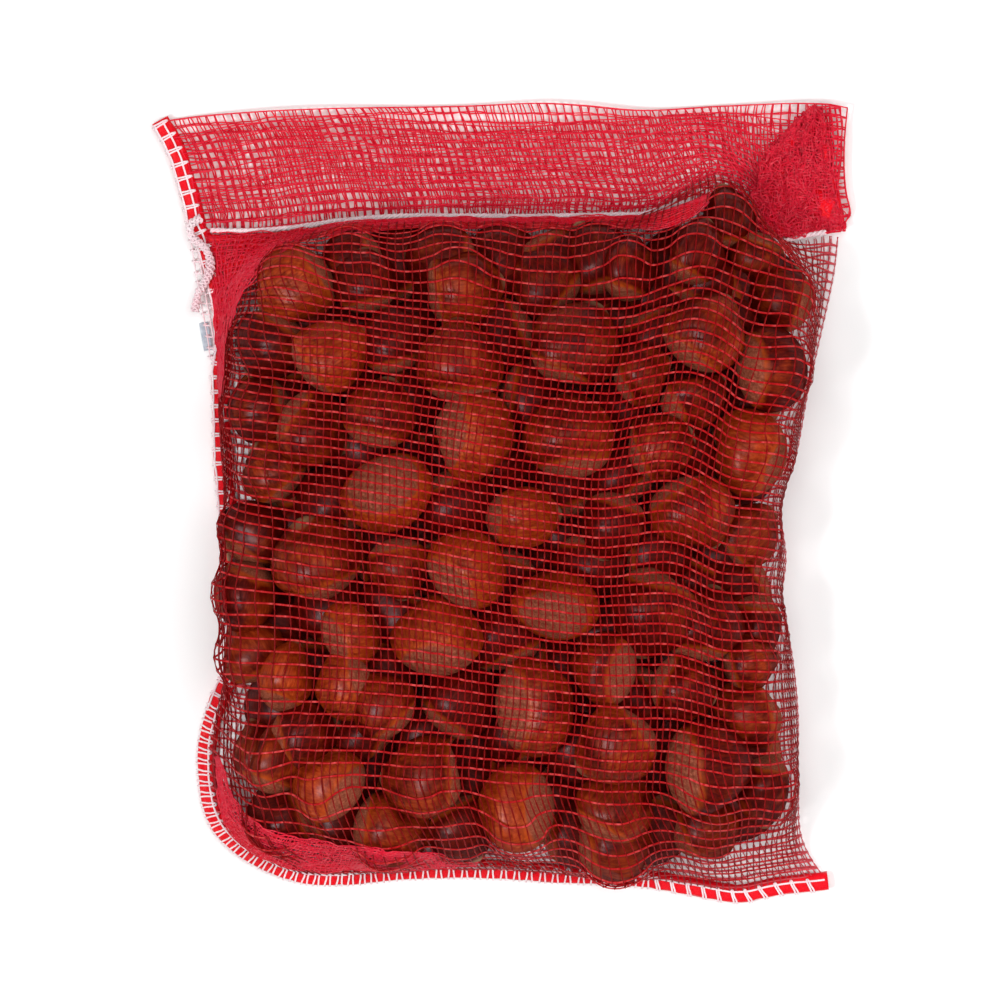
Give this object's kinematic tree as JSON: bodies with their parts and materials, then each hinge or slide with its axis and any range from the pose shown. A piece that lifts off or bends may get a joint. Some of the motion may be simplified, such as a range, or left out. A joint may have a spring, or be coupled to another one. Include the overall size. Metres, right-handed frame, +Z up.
{
  "type": "net bag of chestnuts",
  "caption": "Red woven net bag filled with glossy brown chestnuts, lying flat, with a folded hem, white drawstring and white overlocked edge",
  "frame": {"origin": "on the surface that the bag lies on, below the middle of its box", "axes": "+X to the right of the face shown, +Y towards the hemmed top end, +Z up, out of the face shown"},
  "size_m": [0.2319, 0.2652, 0.0565],
  "materials": {
    "net": "bright red woven plastic net, slightly shiny threads",
    "chestnut": "dark reddish brown chestnut shell, smooth with a soft gloss and a duller tan base",
    "white_thread": "white polyester thread, matte",
    "paper": "plain pale blue-grey label edge"
  },
  "bodies": {
    "root": {"net_bag": "net", "edge_stitching": "white_thread", "back_edge_stitching": "white_thread", "drawstring": "white_thread", "thread_tail": "white_thread", "label_end": "paper"}
  },
  "joints": []
}
